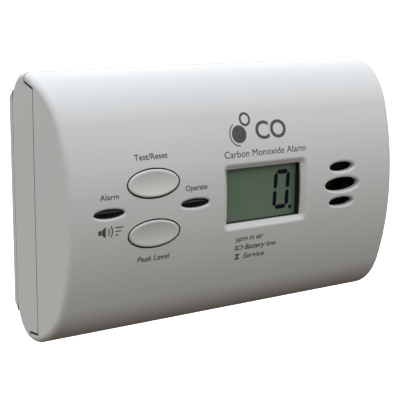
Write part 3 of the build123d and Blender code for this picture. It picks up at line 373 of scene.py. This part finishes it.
def legend(name, words, x, z, height, width, slant=0.0, bold=0.035, made=INK):
    """Printed words of this width, with the middle of their baseline at x, z on the front."""
    mesh = text_mesh(words, height, slant, bold)
    points = [(v.co.x, v.co.y) for v in mesh.vertices]
    polygons = [list(p.vertices) for p in mesh.polygons]
    bpy.data.meshes.remove(mesh)
    low = min(p[0] for p in points)
    high = max(p[0] for p in points)
    squeeze = width / (high - low)
    middle = (low + high) / 2
    points = [((px - middle) * squeeze, pz) for px, pz in points]
    thick_print(name, polygons, points, on_front(x, z), made)


class Drawing:
    """Flat closed shapes in mm that are printed together."""

    def __init__(self):
        self.points = []
        self.polygons = []

    def add(self, outline):
        """One closed outline, counterclockwise."""
        start = len(self.points)
        self.points.extend(outline)
        self.polygons.append(list(range(start, start + len(outline))))

    def ring(self, x, z, radius, line, start=0, sweep=360, steps=36):
        """Band of the given line width along an arc, built from quads."""
        begin = len(self.points)
        closed = sweep == 360
        count = steps if closed else steps + 1
        for i in range(count):
            angle = math.radians(start + sweep * i / steps)
            for r in (radius - line / 2, radius + line / 2):
                self.points.append((x + r * math.cos(angle), z + r * math.sin(angle)))
        for i in range(steps):
            a = begin + 2 * i
            b = begin + 2 * ((i + 1) % count)
            self.polygons.append([a, a + 1, b + 1, b])

    def disc(self, x, z, radius, steps=28, rings=3):
        """Filled circle in narrow bands, so it follows the bowed front."""
        begin = len(self.points)
        for ring in range(1, rings + 1):
            for i in range(steps):
                angle = 2 * math.pi * i / steps
                r = radius * ring / rings
                self.points.append((x + r * math.cos(angle), z + r * math.sin(angle)))
        self.polygons.append([begin + i for i in range(steps)])
        for ring in range(1, rings):
            inner = begin + (ring - 1) * steps
            for i in range(steps):
                j = (i + 1) % steps
                self.polygons.append([inner + i, inner + steps + i, inner + steps + j, inner + j])

    def bar(self, x0, z0, x1, z1):
        """Filled box."""
        self.add([(x0, z0), (x1, z0), (x1, z1), (x0, z1)])

    def frame(self, x0, z0, x1, z1, line):
        """Outline of a box."""
        self.bar(x0, z0, x1, z0 + line)
        self.bar(x0, z1 - line, x1, z1)
        self.bar(x0, z0 + line, x0 + line, z1 - line)
        self.bar(x1 - line, z0 + line, x1, z1 - line)

    def show(self, name, place, made):
        """Print everything drawn so far as one piece."""
        thick_print(name, self.polygons, self.points, place, made)


GAS_SIGN_AT = (-4.6, 21.2)
SOUND_SIGN_AT = (-59.6, -3.5)
LINE_PITCH = 1.3
LINE_SHORTENS = 0.9
STATE_SIGNS_X = -3.6
UNIT_ROW_Z = -14.0
BATTERY_ROW_Z = -17.6
SERVICE_ROW_Z = -21.2
ROW_WORDS_HEIGHT = 2.0
ROW_SLANT = 0.18


def gas_sign():
    """Two joined atoms: a filled circle with an arc round it, and a small open circle."""
    drawing = Drawing()
    drawing.disc(3.2, 3.6, 3.1)
    drawing.ring(6.5, 8.6, 2.0, 0.8)
    drawing.ring(3.2, 3.6, 4.0, 0.4, start=120, sweep=150)
    drawing.show("sign_gas", on_front(*GAS_SIGN_AT), INK)


def sound_sign():
    """Loudspeaker with two sound waves and three lines that shorten downwards."""
    drawing = Drawing()
    drawing.add([(0, -0.8), (1.2, -0.8), (1.2, 0.8), (0, 0.8)])
    drawing.add([(1.4, -0.9), (2.8, -2.0), (2.8, 2.0), (1.4, 0.9)])
    for radius in (1.9, 3.1):
        drawing.ring(2.2, 0, radius, 0.42, start=-38, sweep=76, steps=12)
    for step in range(3):
        drawing.bar(6.4, 1.05 - LINE_PITCH * step, 9.4 - LINE_SHORTENS * step, 1.45 - LINE_PITCH * step)
    drawing.show("sign_sound", on_front(*SOUND_SIGN_AT), INK)


def state_signs():
    """Battery and hourglass beside the lines under the display."""
    drawing = Drawing()
    drawing.frame(0, 0.1, 3.2, 1.8, 0.3)
    drawing.bar(3.2, 0.6, 3.6, 1.3)
    drawing.bar(0.6, 0.6, 1.2, 1.3)
    drawing.show("sign_battery", on_front(STATE_SIGNS_X, BATTERY_ROW_Z), INK)
    drawing = Drawing()
    drawing.bar(0.4, 1.8, 2.6, 2.1)
    drawing.bar(0.4, -0.1, 2.6, 0.2)
    drawing.add([(0.6, 1.7), (1.45, 1.0), (1.55, 1.0), (2.4, 1.7)])
    drawing.add([(0.6, 0.3), (2.4, 0.3), (1.55, 1.0), (1.45, 1.0)])
    drawing.show("sign_hourglass", on_front(STATE_SIGNS_X, SERVICE_ROW_Z), INK)


legend("legend_test", "Test/Reset", -38.3, 19.3, 1.95, 13.0)
legend("legend_alarm", "Alarm", -55.2, 7.4, 1.85, 7.1)
legend("legend_operate", "Operate", -21.2, 7.2, 1.9, 9.0)
legend("legend_peak", "Peak Level", -37.8, -16.2, 2.05, 12.8, slant=0.15)
legend("legend_type", "Carbon Monoxide Alarm", 9.3, 16.85, 2.4, 36.0, bold=0.0, made=INK_BOLD)
legend("formula_gas", "CO", 12.6, 22.6, 6.2, 13.6, bold=0.15)
gas_sign()
sound_sign()
legend("legend_unit", "ppm in air", 2.4, UNIT_ROW_Z, ROW_WORDS_HEIGHT, 12.2, slant=ROW_SLANT)
state_signs()
legend("legend_battery", "Battery low", 7.9, BATTERY_ROW_Z, ROW_WORDS_HEIGHT, 14.2, slant=ROW_SLANT)
legend("legend_end", "Service", 5.4, SERVICE_ROW_Z, ROW_WORDS_HEIGHT, 9.6, slant=ROW_SLANT)

# ---------------------------------------------------------------- display digit
LCD_FILM_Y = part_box("lcd_film")[0][1] / MM
DIGIT_X = 19.4
DIGIT_Z = 2.3
DIGIT_W = 7.3
DIGIT_H = 15.0
SEGMENT = 1.7
SEGMENT_GAP = 0.22
DIGIT_SLANT = 0.045
DIGIT_PROUD = 0.02
POINT_X = 4.7
POINT_R = 0.75
POINT_DROP = 0.3


def segment_shapes():
    """Outlines of the lit segments of a zero."""
    half_w = DIGIT_W / 2 - SEGMENT / 2
    half_h = DIGIT_H / 2 - SEGMENT / 2
    corners = {"tl": (-half_w, half_h), "tr": (half_w, half_h), "ml": (-half_w, 0), "mr": (half_w, 0),
               "bl": (-half_w, -half_h), "br": (half_w, -half_h)}
    shapes = []
    for start, end in (("tl", "tr"), ("bl", "br"), ("tl", "ml"), ("ml", "bl"), ("tr", "mr"), ("mr", "br")):
        a = Vector(corners[start])
        b = Vector(corners[end])
        along = (b - a).normalized()
        side = Vector((-along.y, along.x)) * SEGMENT / 2
        a = a + along * SEGMENT_GAP
        b = b - along * SEGMENT_GAP
        tip = along * SEGMENT / 2
        outline = (a, a + tip - side, b - tip - side, b, b - tip + side, a + tip + side)
        shapes.append([tuple(p) for p in outline])
    return shapes


def lcd_place(x, z, side):
    """Placement of the slanted digit on the front face of the display film."""
    depth = LCD_FILM_Y - (0.0 if side else DIGIT_PROUD)
    return ((DIGIT_X + x + z * DIGIT_SLANT) * MM, depth * MM, (DIGIT_Z + z) * MM)


digit = Drawing()
for shape in segment_shapes():
    digit.add(shape)
digit.disc(POINT_X, -DIGIT_H / 2 + POINT_DROP, POINT_R)
digit.show("lcd_digit", lcd_place, LCD_INK)

# ---------------------------------------------------------------- floor and light
FLOOR_Z = -0.12
FLAT_RADIUS = 6.0
SWEEP_RADIUS = 3.0
WALL_TOP = 9.0
ROUND_STEPS = 72
SWEEP_STEPS = 12


def stage_floor():
    """Round pale floor that sweeps up into a wall; it neither lights nor shades the object."""
    profile = [(FLAT_RADIUS, 0)]
    for step in range(1, SWEEP_STEPS + 1):
        angle = math.radians(90 * step / SWEEP_STEPS)
        profile.append((FLAT_RADIUS + SWEEP_RADIUS * math.sin(angle), SWEEP_RADIUS * (1 - math.cos(angle))))
    profile.append((FLAT_RADIUS + SWEEP_RADIUS, WALL_TOP))
    turns = [2 * math.pi * i / ROUND_STEPS for i in range(ROUND_STEPS)]
    verts = [(r * math.cos(turn), r * math.sin(turn), FLOOR_Z + z) for r, z in profile for turn in turns]
    faces = [tuple(range(ROUND_STEPS))]
    for ring in range(len(profile) - 1):
        for i in range(ROUND_STEPS):
            j = (i + 1) % ROUND_STEPS
            lower = ring * ROUND_STEPS
            faces.append((lower + i, lower + ROUND_STEPS + i, lower + ROUND_STEPS + j, lower + j))
    mesh = bpy.data.meshes.new("floor")
    mesh.from_pydata(verts, [], faces)
    mesh.polygons.foreach_set("use_smooth", [True] * len(faces))
    pale = material("floor", (0.86, 0.86, 0.86), (0.88, 0.88, 0.88), mottle=3, rough=(0.7, 0.8),
                    Emission_Color=(1, 1, 1, 1), Emission_Strength=0.5)
    mesh.materials.append(pale)
    obj = bpy.data.objects.new("floor", mesh)
    scene.collection.objects.link(obj)
    obj.visible_diffuse = False
    obj.visible_glossy = False
    obj.visible_transmission = False
    obj.visible_shadow = False


# Light by the height that it comes from, -1 straight below to 1 straight above.
SKY = (
    (-1.0, (0.0, 0.0, 0.0)),
    (-0.45, (0.135, 0.085, 0.045)),
    (-0.1, (0.03, 0.04, 0.035)),
    (0.2, (0.68, 0.77, 0.81)),
    (0.45, (1.68, 1.59, 1.52)),
    (0.6, (1.42, 1.32, 1.21)),
    (0.75, (0.58, 0.60, 0.56)),
    (0.88, (0.58, 0.72, 0.80)),
    (0.96, (1.65, 1.85, 2.2)),
    (1.0, (5.0, 5.0, 5.8)),
)
SKY_PEAK = 5.8
BEHIND_TIMES = 1.55


def studio_light():
    """Soft light all round: a broad band above the horizon, more overhead, and more from behind."""
    world = bpy.data.worlds.new("world")
    world.use_nodes = True
    tree = world.node_tree
    coords = tree.nodes.new("ShaderNodeTexCoord")
    split = tree.nodes.new("ShaderNodeSeparateXYZ")
    spread = tree.nodes.new("ShaderNodeMapRange")
    spread.inputs["From Min"].default_value = -1
    ramp = tree.nodes.new("ShaderNodeValToRGB")
    tree.links.new(coords.outputs["Generated"], split.inputs["Vector"])
    tree.links.new(split.outputs["Z"], spread.inputs["Value"])
    tree.links.new(spread.outputs["Result"], ramp.inputs["Fac"])
    background = tree.nodes["Background"]
    tree.links.new(ramp.outputs["Color"], background.inputs["Color"])
    behind = tree.nodes.new("ShaderNodeMapRange")
    behind.inputs["To Min"].default_value = SKY_PEAK
    behind.inputs["To Max"].default_value = SKY_PEAK * BEHIND_TIMES
    tree.links.new(split.outputs["Y"], behind.inputs["Value"])
    tree.links.new(behind.outputs["Result"], background.inputs["Strength"])
    for height, _ in SKY[1:-1]:
        ramp.color_ramp.elements.new((height + 1) / 2)
    for element, (height, colour) in zip(ramp.color_ramp.elements, SKY):
        element.position = (height + 1) / 2
        element.color = (*(c / SKY_PEAK for c in colour), 1)
    scene.world = world


stage_floor()
studio_light()
scene.view_settings.view_transform = "Standard"
